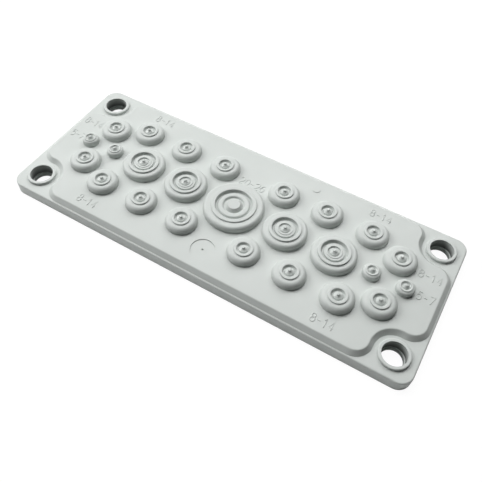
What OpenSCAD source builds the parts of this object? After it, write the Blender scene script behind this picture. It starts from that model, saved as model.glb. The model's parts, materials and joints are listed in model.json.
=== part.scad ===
// Cable entry plate: one soft moulding with stepped membrane domes that cables are pushed through.
// Millimetres, +Z up. The origin is the middle of the underside, and the long side runs along X.

/* [Base plate] */
// Length of the base plate
plate_length = 222.5; // [214:0.5:236]
// Width of the base plate
plate_width = 87; // [84:0.5:100]
// Thickness of the base plate
plate_thickness = 6.5; // [4:0.1:10]
// Radius of the four corners in plan
plate_corner_r = 6.5; // [3:0.1:9]
// Radius of the upper edge
plate_edge_r = 0.75; // [0.3:0.05:0.85]

/* [Raised platform] */
// Height of the platform above the base plate
platform_rise = 2.3; // [1.6:0.1:4]
// Shelf between the foot of the platform and the side of the base plate
platform_shelf = 0.95; // [0.9:0.05:2]
// Horizontal run of the sloping side
platform_slope_run = 2.2; // [1.2:0.1:3]
// Radius of the platform's upper edge
platform_edge_r = 1; // [0.3:0.1:1.5]
// Radius of the outward bends on both sides of a fixing hole
platform_bend_r = 9; // [7:0.1:10]
// Free radius round a fixing hole
notch_r = 9.4; // [8.6:0.1:10.5]

/* [Fixing holes] */
// Distance of the hole axes from the short sides
hole_inset_length = 11.25; // [10:0.05:13]
// Distance of the hole axes from the long sides
hole_inset_width = 11.5; // [10:0.05:13]
// Diameter of the lower bore
hole_d = 10.7; // [6:0.1:11]
// Diameter of the wider upper bore
seat_d = 11.8; // [11.2:0.1:13]
// Height of the seat at the foot of the upper bore
seat_z = 2.2; // [1:0.1:3.5]
// Outer diameter of the raised rim
rim_d = 14.9; // [14:0.1:16.5]
// Height of the rim above the base plate
rim_rise = 1.4; // [0.8:0.1:2.5]
// Radius of the rim's outer edge
rim_edge_r = 0.5; // [0.2:0.05:0.5]

/* [Domes] */
// Height of a dome's shoulder above the platform
shoulder_h = 3.4; // [3.1:0.1:4.2]
// Radius of the rounded shoulder of the large and centre domes
shoulder_r = 1.9; // [1.5:0.1:2.6]
// Height of a collar above the shoulder
collar_rise = 0.65; // [0.5:0.05:1]
// Radius of a collar's upper edges
collar_edge_r = 0.4; // [0.2:0.05:0.45]
// How far the wall below a collar leans in
funnel_run = 0.4; // [0.1:0.05:0.5]
// Radius of the edges of inner steps and discs
step_edge_r = 0.3; // [0.1:0.05:0.4]
// Side wall between a dome and the pocket below it
entry_wall = 1.1; // [0.7:0.1:1.1]
// Thickness of the membrane
membrane_t = 0.9; // [0.5:0.1:1.2]

/* [Piercing tips] */
// Height of a tip above the platform
tip_h = 4.8; // [4.4:0.1:5]
// Radius of a tip at the floor of the pit
tip_r = 1.05; // [1:0.05:1.2]
// How far a tip's side leans in
tip_run = 0.4; // [0.2:0.05:0.45]
// Radius of a tip's end
tip_edge_r = 0.3; // [0.1:0.05:0.3]
// Height of the cone round a tip above the platform
cone_h = 3.95; // [3.7:0.05:4.1]
// Radius of the cone at its foot
cone_r = 2; // [1.8:0.05:2.1]
// How far the cone's side leans in
cone_run = 1.1; // [0.8:0.05:1.2]
// Height of the mound under the cone, above the platform
mound_h = 3.5; // [3.2:0.1:3.6]
// Radius of the mound at the floor of the pit
mound_r = 2.45; // [2.3:0.05:2.6]
// How far the mound's side leans in
mound_run = 0.4; // [0.2:0.05:0.5]
// Radius of the mound's edge
mound_edge_r = 0.4; // [0.2:0.05:0.5]

/* [Medium entries] */
// Entries on each side of the middle in a long row
medium_row_count = 3; // [1:1:3]
// Place along the plate of a long row's first entry, from the middle
medium_first_x = 17.9; // [17:0.1:18.5]
// Spacing along the long rows
medium_pitch = 24.7; // [23:0.1:24.8]
// Distance of the long rows from the middle
medium_row_y = 21; // [20.5:0.1:25]
// Place along the plate of the end entries
medium_end_x = 84.8; // [84:0.1:88]
// Distance of the end entries from the middle
medium_end_y = 13.5; // [13:0.1:16]
// Radius of the dome
medium_r = 8.3; // [7.8:0.1:8.8]
// Radius of the rounded shoulder
medium_shoulder_r = 2.6; // [1.8:0.1:3]
// Outer radius of the collar
medium_collar_r = 4.75; // [4.4:0.05:5]
// Inner radius of the collar
medium_bore_r = 3.3; // [3.1:0.05:3.6]
// Depth of the pit below the shoulder
medium_pit_depth = 0.6; // [0.4:0.05:1]

/* [Large entries] */
// Entries on each side of the middle
large_count = 2; // [1:1:2]
// Place along the plate of the first entry, from the middle
large_first_x = 29.3; // [28:0.1:31]
// Spacing along the plate
large_pitch = 26.6; // [25:0.1:28]
// Radius of the dome
large_r = 11.4; // [10.8:0.1:12]
// Outer radius of the collar
large_collar_r = 8.2; // [7.8:0.1:8.5]
// Inner radius of the collar
large_bore_r = 6.5; // [6.2:0.1:6.9]
// Height of the collar above the shoulder
large_collar_rise = 0.8; // [0.5:0.05:1.2]
// Depth of the trough below the shoulder
large_trough_depth = 0.9; // [0.5:0.1:1.2]
// Radius of the inner step
large_step_r = 5.1; // [4.6:0.1:5.6]
// Height of the inner step above the platform
large_step_h = 3.4; // [3.2:0.1:3.6]
// Outer radius of the rim round the pit
large_rim_r = 4; // [3.8:0.05:4.3]
// Height of the rim above the platform
large_rim_h = 3.7; // [3.5:0.1:4]
// Radius of the pit
large_pit_r = 3.1; // [2.7:0.05:3.3]
// Height of the pit's floor above the platform
large_pit_z = 3; // [2.6:0.1:3.1]

/* [Centre entry] */
// Radius of the dome
centre_r = 15.7; // [15:0.1:16.2]
// Height of the shoulder above the platform
centre_shoulder_h = 3.3; // [3:0.1:4]
// Outer radius of the collar
centre_collar_r = 11.7; // [11.2:0.1:12.1]
// Inner radius of the collar
centre_bore_r = 9.5; // [9.2:0.1:10]
// Depth of the trough below the shoulder
centre_trough_depth = 1.1; // [0.6:0.1:1.4]
// Outer radius of the inner step at its foot
centre_step_r = 8.3; // [7.8:0.1:8.6]
// Inner radius of the inner step at its foot
centre_step_bore_r = 5.2; // [5:0.1:5.6]
// Height of the inner step above the platform
centre_step_h = 3.2; // [3:0.1:3.6]
// How far the sides of the inner step lean in
centre_step_run = 0.5; // [0.2:0.05:0.6]
// Radius of the inner step's edges
centre_step_edge_r = 0.8; // [0.3:0.05:0.9]
// Radius of the middle disc at its foot
centre_disc_r = 4.7; // [4:0.1:4.9]
// Height of the middle disc above the platform
centre_disc_h = 3.8; // [3.4:0.1:4.2]
// How far the side of the middle disc leans in
centre_disc_run = 1.5; // [0.5:0.1:2]

/* [Small entries] */
// Entries on each side of the middle
small_count = 2; // [1:1:2]
// Place along the plate of the first entry, from the middle
small_first_x = 75.4; // [73.5:0.1:77]
// Spacing along the plate
small_pitch = 16.8; // [15:0.1:19]
// Height of the shoulder above the platform
small_shoulder_h = 3; // [2.6:0.1:4]
// Radius of the rounded shoulder
small_shoulder_r = 1.2; // [1.15:0.05:1.25]
// Radius of the dome
small_r = 4.5; // [4.4:0.1:5]
// Outer radius of the collar
small_collar_r = 3.25; // [3.2:0.05:3.3]
// Inner radius of the collar
small_bore_r = 2.3; // [2.1:0.05:2.4]
// Height of the collar above the shoulder
small_collar_rise = 0.5; // [0.45:0.05:0.8]
// Depth of the pit below the shoulder
small_pit_depth = 0.3; // [0.1:0.05:0.5]
// Radius of the tip at the floor of the pit
small_tip_r = 1.8; // [1.5:0.05:1.85]
// Height of the tip above the platform
small_tip_h = 4.1; // [3.8:0.1:4.3]
// How far the tip's side leans in
small_tip_run = 1.3; // [0.8:0.05:1.35]

/* [Moulding marks] */
// Distance of the gate recess from the middle of the width
gate_y = 29.5; // [27:0.1:33]
// Radius of the gate recess
gate_r = 6.1; // [4:0.1:7]
// Depth of the gate recess
gate_depth = 0.35; // [0.1:0.05:0.5]
// Radius of the gate's dimple
gate_dimple_r = 0.6; // [0.3:0.1:1]
// Place of the round pad along the plate
pad_x = 30.5; // [-60:0.5:60]
// Distance of the round pad from the middle of the width
pad_y = 34; // [32.5:0.1:36]
// Radius of the round pad
pad_r = 2.2; // [1.5:0.1:3]
// Height of the round pad
pad_rise = 0.25; // [0.1:0.05:0.5]

/* [Hidden] */
$fn = 64;

overlap = 1;
sink = 0.3;
cone_sink = 0.1;
bend_steps = 18;
edge_steps = 4;

half_length = plate_length / 2;
half_width = plate_width / 2;
hole_at = [half_length - hole_inset_length, half_width - hole_inset_width];
platform_top = plate_thickness + platform_rise;
foot_x = half_length - platform_shelf;
foot_y = half_width - platform_shelf;

// Floors of the pits and troughs, above the platform
medium_floor = shoulder_h - medium_pit_depth;
large_floor = shoulder_h - large_trough_depth;
centre_floor = centre_shoulder_h - centre_trough_depth;
small_floor = small_shoulder_h - small_pit_depth;

// An outward bend touches both a side of the platform and the notch, so its centre follows from the two.
bend_span = notch_r + platform_bend_r;
end_bend_x = foot_x - platform_bend_r;
side_bend_y = foot_y - platform_bend_r;
end_bend = [end_bend_x, hole_at.y - sqrt(bend_span ^ 2 - (hole_at.x - end_bend_x) ^ 2)];
side_bend = [hole_at.x - sqrt(bend_span ^ 2 - (hole_at.y - side_bend_y) ^ 2), side_bend_y];
end_turn = direction(end_bend, hole_at);
side_turn = direction(side_bend, hole_at);

// The side leans in by its run, and its upper edge is an arc that touches the slope and the top.
lean = atan2(platform_rise, platform_slope_run);
edge_centre = [
    platform_slope_run + platform_edge_r * tan(lean / 2),
    platform_top - platform_edge_r
];
edge_turns = [for (i = [edge_steps : -1 : 0]) lean * i / edge_steps];
// Pairs of inset and height, from the foot of the platform to its top.
platform_side = concat(
    [[0, plate_thickness - overlap], [0, plate_thickness]],
    [for (a = edge_turns) edge_centre + platform_edge_r * [-sin(a), cos(a)]]
);

function direction(from, to) = atan2(to.y - from.y, to.x - from.x);

function arc(centre, r, from, to, steps) =
    [for (i = [0 : steps]) let (a = from + (to - from) * i / steps) centre + r * [cos(a), sin(a)]];

function without_first(points) = [for (i = [1 : len(points) - 1]) points[i]];

function backward(points) = [for (i = [len(points) - 1 : -1 : 0]) points[i]];

// One corner of the platform at an inset: outward bend, hollow bend round the hole, outward bend.
function platform_corner(inset) = concat(
    arc(end_bend, platform_bend_r - inset, 0, end_turn, bend_steps),
    without_first(arc(hole_at, notch_r + inset, 180 + end_turn, 180 + side_turn, bend_steps)),
    without_first(arc(side_bend, platform_bend_r - inset, side_turn, 90, bend_steps))
);

function platform_outline(inset) =
    let (corner = platform_corner(inset), back = backward(corner))
    concat(
        corner,
        [for (p = back) [-p.x, p.y]],
        [for (p = corner) -p],
        [for (p = back) [p.x, -p.y]]
    );

// A closed skin through outlines round the Z axis that all have the same number of points, from the lowest
// to the highest. Each end is a fan round the axis, because the outlines are hollow in places.
module loft(layers) {
    n = len(layers[0]);
    last = len(layers) - 1;
    top = last * n;
    low_middle = len(layers) * n;
    high_middle = low_middle + 1;
    polyhedron(
        points = concat(
            [for (layer = layers) each layer],
            [[0, 0, layers[0][0].z], [0, 0, layers[last][0].z]]
        ),
        faces = concat(
            [for (j = [0 : n - 1]) [low_middle, j, (j + 1) % n]],
            [for (i = [0 : last - 1], j = [0 : n - 1])
                let (a = i * n + j, b = i * n + (j + 1) % n) [a, a + n, b + n, b]],
            [for (j = [0 : n - 1]) [high_middle, top + (j + 1) % n, top + j]]
        )
    );
}

module platform() {
    loft([for (s = platform_side) [for (p = platform_outline(s.x)) [p.x, p.y, s.y]]]);
}

// Half section of a block whose upper outer edge is round.
module round_section(reach, height, edge_r) {
    square([reach, height - edge_r]);
    square([reach - edge_r, height]);
    translate([reach - edge_r, height - edge_r]) circle(r = edge_r);
}

module plate_section(reach) {
    round_section(reach, plate_thickness, plate_edge_r);
}

// A bar along X with the given half section on both sides.
module bar_along_x(length) {
    rotate([90, 0, 90]) linear_extrude(length, center = true) {
        children();
        mirror([1, 0]) children();
    }
}

module base_plate() {
    bar_along_x(plate_length - 2 * plate_corner_r) plate_section(half_width);
    rotate([0, 0, 90]) bar_along_x(plate_width - 2 * plate_corner_r) plate_section(half_length);
    for (sx = [-1, 1], sy = [-1, 1])
        translate([sx * (half_length - plate_corner_r), sy * (half_width - plate_corner_r), 0])
            rotate_extrude() plate_section(plate_corner_r);
}

module at_holes() {
    for (sx = [-1, 1], sy = [-1, 1]) translate([sx * hole_at.x, sy * hole_at.y, 0]) children();
}

module hole_rim() {
    rotate_extrude() round_section(rim_d / 2, plate_thickness + rim_rise, rim_edge_r);
}

module hole_bores() {
    translate([0, 0, -overlap]) cylinder(h = seat_z + 2 * overlap, d = hole_d);
    translate([0, 0, seat_z]) cylinder(h = plate_thickness + rim_rise, d = seat_d);
}

// Half section of a round block on a floor, with a side that leans in by the run and a round upper edge.
module block_section(reach, floor, height, run, edge_r) {
    lean = atan2(height - floor, run);
    edge = [reach - run - edge_r * tan(lean / 2), height - edge_r];
    polygon([
        [0, floor - sink], [reach, floor - sink], [reach, floor],
        edge + edge_r * [sin(lean), cos(lean)], [edge.x, height], [0, height]
    ]);
    translate(edge) circle(r = edge_r);
}

// Half section of a ring on a floor, with sides that both lean in by the run and round upper edges.
module ring_section(inner, outer, floor, height, run, edge_r) {
    lean = atan2(height - floor, run);
    inset = run + edge_r * tan(lean / 2);
    side = edge_r * [sin(lean), cos(lean)];
    inner_edge = [inner + inset, height - edge_r];
    outer_edge = [outer - inset, height - edge_r];
    polygon([
        [inner, floor - sink], [outer, floor - sink], [outer, floor],
        outer_edge + side, [outer_edge.x, height],
        [inner_edge.x, height], inner_edge + [-side.x, side.y], [inner, floor]
    ]);
    for (edge = [inner_edge, outer_edge]) translate(edge) circle(r = edge_r);
}

// Half section of the tip that starts the hole for a cable, on a cone and a mound.
module tip_section(floor) {
    block_section(tip_r, floor, tip_h, tip_run, tip_edge_r);
    block_section(cone_r, mound_h - cone_sink, cone_h, cone_run, tip_edge_r);
    block_section(mound_r, floor, mound_h, mound_run, mound_edge_r);
}

// A dome with a sunk middle inside its collar. The children are the half section of what stands there.
module dome(r, height, edge_r, collar_r, bore_r, rise, depth) {
    floor = height - depth;
    translate([0, 0, platform_top]) rotate_extrude() {
        difference() {
            translate([0, -overlap]) round_section(r, overlap + height, edge_r);
            polygon([
                [0, floor], [bore_r - funnel_run, floor], [bore_r, height],
                [bore_r, height + overlap], [0, height + overlap]
            ]);
        }
        ring_section(bore_r, collar_r, height, height + rise, 0, collar_edge_r);
        children();
    }
}

// The blind pocket below a dome, open at the underside.
module pocket(r, floor, edge_r) {
    ceiling = platform_top + floor - membrane_t;
    translate([0, 0, -overlap])
        rotate_extrude() round_section(r - entry_wall, overlap + ceiling, edge_r - entry_wall);
}

module medium_dome() {
    dome(
        medium_r, shoulder_h, medium_shoulder_r, medium_collar_r, medium_bore_r, collar_rise,
        medium_pit_depth
    ) tip_section(medium_floor);
}

module large_dome() {
    dome(
        large_r, shoulder_h, shoulder_r, large_collar_r, large_bore_r, large_collar_rise,
        large_trough_depth
    ) {
        difference() {
            block_section(large_step_r, large_floor, large_step_h, 0, step_edge_r);
            translate([0, large_pit_z]) square([large_pit_r, overlap]);
        }
        ring_section(large_pit_r, large_rim_r, large_step_h, large_rim_h, 0, step_edge_r);
        tip_section(large_pit_z);
    }
}

module centre_dome() {
    dome(
        centre_r, centre_shoulder_h, shoulder_r, centre_collar_r, centre_bore_r, collar_rise,
        centre_trough_depth
    ) {
        ring_section(
            centre_step_bore_r, centre_step_r, centre_floor, centre_step_h, centre_step_run,
            centre_step_edge_r
        );
        block_section(centre_disc_r, centre_floor, centre_disc_h, centre_disc_run, step_edge_r);
    }
}

module small_dome() {
    dome(
        small_r, small_shoulder_h, small_shoulder_r, small_collar_r, small_bore_r, small_collar_rise,
        small_pit_depth
    ) block_section(small_tip_r, small_floor, small_tip_h, small_tip_run, tip_edge_r);
}

// Places in a row to both sides of the middle.
module in_row(first_x, pitch, count, y) {
    for (sx = [-1, 1], i = [0 : count - 1]) translate([sx * (first_x + i * pitch), y, 0]) children();
}

module at_medium_entries() {
    for (sy = [-1, 1]) {
        in_row(medium_first_x, medium_pitch, medium_row_count, sy * medium_row_y) children();
        for (sx = [-1, 1]) translate([sx * medium_end_x, sy * medium_end_y, 0]) children();
    }
}

module at_large_entries() {
    in_row(large_first_x, large_pitch, large_count, 0) children();
}

module at_small_entries() {
    in_row(small_first_x, small_pitch, small_count, 0) children();
}

module domes() {
    at_medium_entries() medium_dome();
    at_large_entries() large_dome();
    at_small_entries() small_dome();
    centre_dome();
}

module pockets() {
    at_medium_entries() pocket(medium_r, medium_floor, medium_shoulder_r);
    at_large_entries() pocket(large_r, large_floor, shoulder_r);
    at_small_entries() pocket(small_r, small_floor, small_shoulder_r);
    pocket(centre_r, centre_floor, shoulder_r);
}

module gate_recess() {
    translate([0, -gate_y, platform_top - gate_depth]) {
        cylinder(h = gate_depth + overlap, r = gate_r);
        sphere(r = gate_dimple_r);
    }
}

module round_pad() {
    translate([pad_x, pad_y, platform_top - overlap]) cylinder(h = overlap + pad_rise, r = pad_r);
}

module entry_plate() {
    color("#d2d6d3") difference() {
        union() {
            base_plate();
            platform();
            at_holes() hole_rim();
            domes();
            round_pad();
        }
        at_holes() hole_bores();
        pockets();
        gate_recess();
    }
}

entry_plate();
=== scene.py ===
"""Looks of a cable entry plate: light grey elastomer with raised size numbers, on a pale studio floor."""
import json
import math

import bpy
from mathutils import Matrix, Vector


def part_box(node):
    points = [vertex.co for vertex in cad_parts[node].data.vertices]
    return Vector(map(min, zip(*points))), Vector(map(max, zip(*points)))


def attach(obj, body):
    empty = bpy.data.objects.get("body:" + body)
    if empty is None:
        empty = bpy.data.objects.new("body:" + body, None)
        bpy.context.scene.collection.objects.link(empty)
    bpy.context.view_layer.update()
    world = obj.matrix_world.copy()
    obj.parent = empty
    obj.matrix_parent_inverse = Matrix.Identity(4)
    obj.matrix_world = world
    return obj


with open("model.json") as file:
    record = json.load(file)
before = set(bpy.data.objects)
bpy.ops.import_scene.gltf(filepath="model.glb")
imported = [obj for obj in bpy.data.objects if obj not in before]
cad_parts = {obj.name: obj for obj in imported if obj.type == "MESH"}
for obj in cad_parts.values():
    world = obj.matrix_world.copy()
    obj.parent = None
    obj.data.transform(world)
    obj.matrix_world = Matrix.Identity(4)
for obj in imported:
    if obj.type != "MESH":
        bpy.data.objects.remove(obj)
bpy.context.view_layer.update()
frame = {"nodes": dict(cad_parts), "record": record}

MM = 0.001
# Farther off than anything in the scene
FAR = 10.0

# The plate's own box and the height of its platform
plate_low, plate_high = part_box("entry_plate")
PLATFORM_TOP = plate_low.z + 8.8 * MM

# Size numbers: raised strokes with a round back
NUMBER_HEIGHT = 4.4 * MM
NUMBER_WIDTH = 2.2 * MM
NUMBER_ADVANCE = 3.0 * MM
STROKE_R = 0.3 * MM
STROKE_SINK = 0.05 * MM
STROKE_ROUNDNESS = 3
ARC_STEPS = 20

# Text of each size number and the middle of its place on the platform
SIZE_NUMBERS = [("20-26", 0.0, 19.1 * MM)]
for side in (-1, 1):
    SIZE_NUMBERS.append(("5-7", side * 102.2 * MM, 0.6 * MM))
    SIZE_NUMBERS.append(("8-14", side * 100.4 * MM, 12.8 * MM))
    for row in (-1, 1):
        SIZE_NUMBERS.append(("8-14", side * 66.5 * MM, row * 34.8 * MM))

# Elastomer: two greys in faint clouds
DARK_GREY = (0.535, 0.565, 0.545)
LIGHT_GREY = (0.565, 0.595, 0.575)
CLOUD_SCALE = 45.0
CLOUD_DETAIL = 4.0
# Its roughness, which varies in small patches
ROUGHNESS_LOW = 0.42
ROUGHNESS_HIGH = 0.50
PATCH_SCALE = 160.0
PATCH_DETAIL = 3.0
SPECULAR = 0.45
# Its fine grain
GRAIN_SCALE = 3200.0
GRAIN_DETAIL = 2.0
GRAIN_STRENGTH = 0.12
GRAIN_HEIGHT = 0.06 * MM
# Values of a noise between which its ramp runs
RAMP_START = 0.3
RAMP_END = 0.7

# Round places with a look of their own, polished pits and bores with painted shade: start of the opening's
# name and the radius
PITS = [("medium_entry", 2.9 * MM), ("large_entry", 3.1 * MM), ("small_entry", 2.2 * MM)]
SHADED_BORES = [("fixing_hole", 5.95 * MM)]
# Half the width of the soft edge of such a place, as a share of its radius
PLACE_EDGE = 0.005
# Heights between which the pits' polish and the bores' painted shade come in, and between which they go
# out again
PIT_IN = (plate_low.z + 11.2 * MM, plate_low.z + 11.7 * MM)
PIT_OUT = (FAR, 2 * FAR)
BORE_IN = (plate_low.z + 2.2 * MM, plate_low.z + 2.9 * MM)
BORE_OUT = (plate_low.z + 3.4 * MM, plate_low.z + 6.6 * MM)
# Share of the roughness that the pits have, and of the colour that the bores keep near their foot as
# painted shade
PIT_ROUGHNESS = 0.3
BORE_SHADE = 0.3

# Stage: a round floor that curves up into a wall, in metres
COVE_START = 2.0
COVE_R = 1.0
COVE_STEPS = 12
WALL_TOP = 3.0
ROUND_STEPS = 96
# How far the bounce board lies under the floor
BOARD_DROP = 1.0 * MM
# White of the floor and of the bounce board
FLOOR_TONE = 0.08
FLOOR_GLOW = 0.95
BOARD_TONE = 0.94
BOARD_GLOW = 0.0
TONE_SPREAD = 0.01
STAGE_CLOUD_SCALE = 3.0
STAGE_CLOUD_DETAIL = 2.0
STAGE_ROUGHNESS = 0.9
STAGE_SPECULAR = 0.1
WHITE = (1.0, 1.0, 1.0, 1.0)

# Softboxes behind the object and on its left: name, azimuth and elevation in degrees, power in watts
SOFTBOXES = [
    ("high_behind", 225, 70, 5.1),
    ("middle_behind", 225, 40, 1.8),
    ("low_behind", 180, 38, 5.5),
    ("low_left", 275, 36, 8.0),
]
SOFTBOX_SIZE = 0.6
SOFTBOX_DISTANCE = 1.1
WORLD_STRENGTH = 0.02

# Camera that took the photograph, found by fitting the plate's outline
CAMERA_AIM = Vector((14.7 * MM, -17.92 * MM, plate_low.z + 12.5 * MM))
CAMERA_AZIMUTH = 28.44
CAMERA_ELEVATION = 54.21
CAMERA_ROLL = 2.42
CAMERA_DISTANCE = 264.03 * MM
CAMERA_LENS = 41.06
CAMERA_SENSOR = 36.0
CAMERA_NEAREST = 10.0 * MM


def direction(azimuth, elevation):
    """Unit vector towards a place round the object. Azimuth 0 is on the -Y side and 90 on the +X side."""
    a, e = math.radians(azimuth), math.radians(elevation)
    return Vector((math.sin(a) * math.cos(e), -math.cos(a) * math.cos(e), math.sin(e)))


# Size numbers
def arc(cx, cy, rx, ry, start, end):
    """Points on an ellipse from one angle to another, in degrees."""
    points = []
    for i in range(ARC_STEPS + 1):
        a = math.radians(start + (end - start) * i / ARC_STEPS)
        points.append((cx + rx * math.cos(a), cy + ry * math.sin(a)))
    return points


# Strokes of each sign, in a cell one wide and one high
GLYPHS = {
    "-": [[(0.15, 0.48), (0.85, 0.48)]],
    "0": [arc(0.5, 0.5, 0.5, 0.5, 90, 450)],
    "1": [[(0.2, 0.78), (0.55, 1.0), (0.55, 0.0)]],
    "2": [arc(0.5, 0.7, 0.48, 0.3, 165, -35) + [(0.0, 0.0), (1.0, 0.0)]],
    "4": [[(0.72, 0.0), (0.72, 1.0), (0.0, 0.3), (1.0, 0.3)]],
    "5": [[(0.92, 1.0), (0.16, 1.0), (0.1, 0.56)] + arc(0.48, 0.33, 0.5, 0.33, 130, -140)],
    "6": [arc(0.98, 0.31, 0.98, 0.69, 98, 180) + arc(0.5, 0.31, 0.5, 0.31, 180, 540)],
    "7": [[(0.0, 1.0), (1.0, 1.0), (0.35, 0.0)]],
    "8": [arc(0.5, 0.76, 0.41, 0.24, -90, 270) + arc(0.5, 0.26, 0.5, 0.26, 90, 450)],
}


def add_stroke(curve, points):
    """One open line through points in space."""
    spline = curve.splines.new("POLY")
    spline.points.add(len(points) - 1)
    for target, (x, y, z) in zip(spline.points, points):
        target.co = (x, y, z, 1.0)


def size_numbers(material):
    """All size numbers as one piece of round strokes, about half sunk in the platform."""
    curve = bpy.data.curves.new("size_numbers", "CURVE")
    curve.dimensions = "3D"
    curve.bevel_depth = STROKE_R
    curve.bevel_resolution = STROKE_ROUNDNESS
    curve.use_fill_caps = True
    level = PLATFORM_TOP - STROKE_SINK
    for text, mid_x, mid_y in SIZE_NUMBERS:
        width = NUMBER_ADVANCE * (len(text) - 1) + NUMBER_WIDTH
        low = mid_y - NUMBER_HEIGHT / 2
        for i, sign in enumerate(text):
            left = mid_x - width / 2 + i * NUMBER_ADVANCE
            for stroke in GLYPHS[sign]:
                points = [(left + x * NUMBER_WIDTH, low + y * NUMBER_HEIGHT, level) for x, y in stroke]
                add_stroke(curve, points)
    curve.materials.append(material)
    piece = bpy.data.objects.new("size_numbers", curve)
    bpy.context.scene.collection.objects.link(piece)
    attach(piece, "root")


# Materials
def new_material(name):
    """An empty material and its shader."""
    material = bpy.data.materials.new(name)
    material.use_nodes = True
    nodes = material.node_tree.nodes
    nodes.clear()
    shader = nodes.new("ShaderNodeBsdfPrincipled")
    output = nodes.new("ShaderNodeOutputMaterial")
    material.node_tree.links.new(shader.outputs["BSDF"], output.inputs["Surface"])
    return material, shader


def noise(material, place, scale, detail):
    """Noise in the object's own space, from 0 to 1."""
    node = material.node_tree.nodes.new("ShaderNodeTexNoise")
    node.inputs["Scale"].default_value = scale
    node.inputs["Detail"].default_value = detail
    material.node_tree.links.new(place.outputs["Object"], node.inputs["Vector"])
    return node.outputs["Fac"]


def ramp(material, source, low_colour, high_colour):
    """A ramp from one colour to another over the middle of a noise."""
    node = material.node_tree.nodes.new("ShaderNodeValToRGB")
    first, last = node.color_ramp.elements
    first.position = RAMP_START
    first.color = (*low_colour, 1.0)
    last.position = RAMP_END
    last.color = (*high_colour, 1.0)
    material.node_tree.links.new(source, node.inputs["Fac"])
    return node.outputs["Color"]


def even(value):
    """A grey with this value in each channel."""
    return (value, value, value)


def calculate(material, kind, operation, *values):
    """One step of arithmetic. Each value is a socket or a constant."""
    node = material.node_tree.nodes.new(kind)
    node.operation = operation
    for target, value in zip(node.inputs, values):
        if isinstance(value, bpy.types.NodeSocket):
            material.node_tree.links.new(value, target)
        else:
            target.default_value = value
    return node


def spread(material, source, low, high, low_value, high_value):
    """Maps a range of the source to a range of values and stays at its ends beyond it."""
    node = material.node_tree.nodes.new("ShaderNodeMapRange")
    node.inputs["From Min"].default_value = low
    node.inputs["From Max"].default_value = high
    node.inputs["To Min"].default_value = low_value
    node.inputs["To Max"].default_value = high_value
    material.node_tree.links.new(source, node.inputs["Value"])
    return node.outputs["Result"]


def quarter_middles(name):
    """Middles in plan of the record's openings with this name. The other quarters mirror this one."""
    middles = []
    for opening in frame["record"]["physics"]["openings"]:
        low, high = opening["box_m"]
        x, y = (low[0] + high[0]) / 2, (low[1] + high[1]) / 2
        if opening["name"].startswith(name) and x > -MM and y > -MM:
            middles.append((x, y, 0.0))
    return middles


def polish_and_shade_mask(material, place, circles, comes_in, goes_out):
    """A mask that is 1 inside circles round the named openings, between heights, and 0 elsewhere."""
    folded = calculate(material, "ShaderNodeVectorMath", "ABSOLUTE", place.outputs["Object"])
    plan = calculate(material, "ShaderNodeVectorMath", "MULTIPLY", folded.outputs[0], (1.0, 1.0, 0.0))
    nearest = FAR
    for name, radius in circles:
        for middle in quarter_middles(name):
            far = calculate(material, "ShaderNodeVectorMath", "DISTANCE", plan.outputs[0], middle)
            share = calculate(material, "ShaderNodeMath", "DIVIDE", far.outputs["Value"], radius)
            least = calculate(material, "ShaderNodeMath", "MINIMUM", share.outputs[0], nearest)
            nearest = least.outputs[0]
    split = material.node_tree.nodes.new("ShaderNodeSeparateXYZ")
    material.node_tree.links.new(place.outputs["Object"], split.inputs[0])
    within = spread(material, nearest, 1.0 - PLACE_EDGE, 1.0 + PLACE_EDGE, 1.0, 0.0)
    above = spread(material, split.outputs["Z"], *comes_in, 0.0, 1.0)
    below = spread(material, split.outputs["Z"], *goes_out, 1.0, 0.0)
    between = calculate(material, "ShaderNodeMath", "MULTIPLY", above, below)
    mask = calculate(material, "ShaderNodeMath", "MULTIPLY", within, between.outputs[0])
    return mask.outputs[0]


def elastomer():
    """Light grey elastomer with a fine grain, polished pits and painted shade that darkens the bores near
    their foot.
    """
    material, shader = new_material("elastomer_light_grey")
    links = material.node_tree.links
    place = material.node_tree.nodes.new("ShaderNodeTexCoord")

    clouds = noise(material, place, CLOUD_SCALE, CLOUD_DETAIL)
    colour = ramp(material, clouds, DARK_GREY, LIGHT_GREY)
    # Painted shade: the colour darkens in the bores towards their foot, where shade falls
    bores = polish_and_shade_mask(material, place, SHADED_BORES, BORE_IN, BORE_OUT)
    shaded = calculate(material, "ShaderNodeVectorMath", "SCALE", colour)
    links.new(spread(material, bores, 0.0, 1.0, 1.0, BORE_SHADE), shaded.inputs["Scale"])
    links.new(shaded.outputs[0], shader.inputs["Base Color"])

    patches = noise(material, place, PATCH_SCALE, PATCH_DETAIL)
    rough = ramp(material, patches, even(ROUGHNESS_LOW), even(ROUGHNESS_HIGH))
    pits = polish_and_shade_mask(material, place, PITS, PIT_IN, PIT_OUT)
    polish = spread(material, pits, 0.0, 1.0, 1.0, PIT_ROUGHNESS)
    finish = calculate(material, "ShaderNodeMath", "MULTIPLY", rough, polish)
    links.new(finish.outputs[0], shader.inputs["Roughness"])
    shader.inputs["Specular IOR Level"].default_value = SPECULAR

    grain = noise(material, place, GRAIN_SCALE, GRAIN_DETAIL)
    bump = material.node_tree.nodes.new("ShaderNodeBump")
    bump.inputs["Strength"].default_value = GRAIN_STRENGTH
    bump.inputs["Distance"].default_value = GRAIN_HEIGHT
    links.new(grain, bump.inputs["Height"])
    links.new(bump.outputs["Normal"], shader.inputs["Normal"])
    return material


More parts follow.
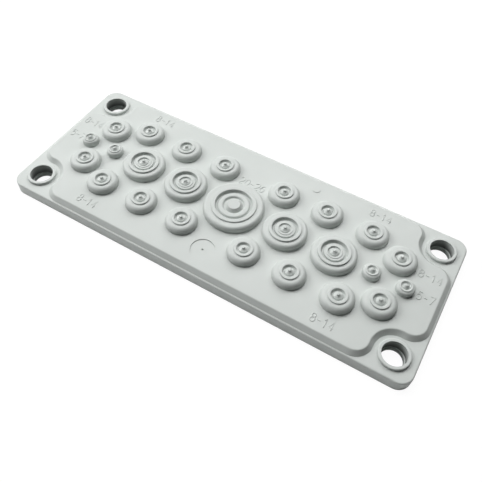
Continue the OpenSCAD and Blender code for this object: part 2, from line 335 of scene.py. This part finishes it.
def stage_white(name, tone, glow):
    """Matt white with faint clouds. The tone is how strongly light shows on it, the glow is its own."""
    material, shader = new_material(name)
    place = material.node_tree.nodes.new("ShaderNodeTexCoord")
    clouds = noise(material, place, STAGE_CLOUD_SCALE, STAGE_CLOUD_DETAIL)
    colour = ramp(material, clouds, even(tone - TONE_SPREAD), even(tone + TONE_SPREAD))
    material.node_tree.links.new(colour, shader.inputs["Base Color"])
    shader.inputs["Roughness"].default_value = STAGE_ROUGHNESS
    shader.inputs["Specular IOR Level"].default_value = STAGE_SPECULAR
    shader.inputs["Emission Color"].default_value = WHITE
    shader.inputs["Emission Strength"].default_value = glow
    return material


# Stage
def add_stage_mesh(name, points, faces, tone, glow):
    """A white piece of the stage."""
    mesh = bpy.data.meshes.new(name)
    mesh.from_pydata(points, [], faces)
    mesh.shade_smooth()
    mesh.materials.append(stage_white(name + "_white", tone, glow))
    piece = bpy.data.objects.new(name, mesh)
    bpy.context.scene.collection.objects.link(piece)
    return piece


def ring_points(radius, height):
    """Points on a level circle at a height above the plate's underside."""
    points = []
    for i in range(ROUND_STEPS):
        a = 2.0 * math.pi * i / ROUND_STEPS
        points.append((radius * math.cos(a), radius * math.sin(a), plate_low.z + height))
    return points


def add_floor():
    """A glowing round floor that rises into a wall. It shows, but lights nothing."""
    profile = [(COVE_START, 0.0)]
    for i in range(1, COVE_STEPS + 1):
        a = math.radians(90.0 * i / COVE_STEPS)
        profile.append((COVE_START + COVE_R * math.sin(a), COVE_R * (1.0 - math.cos(a))))
    profile.append((COVE_START + COVE_R, WALL_TOP))
    points = []
    for radius, height in profile:
        points += ring_points(radius, height)
    faces = [tuple(range(ROUND_STEPS))]
    for ring in range(len(profile) - 1):
        for i in range(ROUND_STEPS):
            a = ring * ROUND_STEPS + i
            b = ring * ROUND_STEPS + (i + 1) % ROUND_STEPS
            faces.append((a, a + ROUND_STEPS, b + ROUND_STEPS, b))
    floor = add_stage_mesh("floor", points, faces, FLOOR_TONE, FLOOR_GLOW)
    floor.visible_diffuse = False
    floor.visible_glossy = False
    floor.visible_shadow = False


def add_bounce_board():
    """A white board that throws light back at the object. It does not show and is open under the plate."""
    level = plate_low.z - BOARD_DROP
    outside = ((-COVE_START, -COVE_START), (COVE_START, COVE_START))
    opening = (plate_low.xy, plate_high.xy)
    points = []
    for (x0, y0), (x1, y1) in (outside, opening):
        points += [(x0, y0, level), (x1, y0, level), (x1, y1, level), (x0, y1, level)]
    faces = []
    for i in range(4):
        j = (i + 1) % 4
        faces.append((i, j, j + 4, i + 4))
    board = add_stage_mesh("bounce_board", points, faces, BOARD_TONE, BOARD_GLOW)
    board.visible_camera = False


def add_softbox(name, azimuth, elevation, power):
    """A square area light that faces the object."""
    light = bpy.data.lights.new(name, "AREA")
    light.shape = "SQUARE"
    light.size = SOFTBOX_SIZE
    light.energy = power
    lamp = bpy.data.objects.new(name, light)
    towards = direction(azimuth, elevation)
    lamp.location = towards * SOFTBOX_DISTANCE
    lamp.rotation_euler = towards.to_track_quat("Z", "Y").to_euler()
    bpy.context.scene.collection.objects.link(lamp)


def add_world():
    """A little even light from all round."""
    world = bpy.data.worlds.new("studio")
    world.use_nodes = True
    background = world.node_tree.nodes["Background"]
    background.inputs["Color"].default_value = WHITE
    background.inputs["Strength"].default_value = WORLD_STRENGTH
    bpy.context.scene.world = world


def add_camera():
    """The camera at the photograph's place."""
    data = bpy.data.cameras.new("camera")
    data.sensor_width = CAMERA_SENSOR
    data.lens = CAMERA_LENS
    data.clip_start = CAMERA_NEAREST
    camera = bpy.data.objects.new("camera", data)
    towards = direction(CAMERA_AZIMUTH, CAMERA_ELEVATION)
    roll = Matrix.Rotation(math.radians(CAMERA_ROLL), 3, "Z")
    turn = towards.to_track_quat("Z", "Y").to_matrix() @ roll
    camera.matrix_world = Matrix.Translation(CAMERA_AIM + towards * CAMERA_DISTANCE) @ turn.to_4x4()
    bpy.context.scene.collection.objects.link(camera)
    bpy.context.scene.camera = camera


grey = elastomer()
plate = frame["nodes"]["entry_plate"]
plate.data.materials.clear()
plate.data.materials.append(grey)
size_numbers(grey)

add_floor()
add_bounce_board()
for name, azimuth, elevation, power in SOFTBOXES:
    add_softbox(name, azimuth, elevation, power)
add_world()
add_camera()
bpy.context.scene.view_settings.view_transform = "Standard"
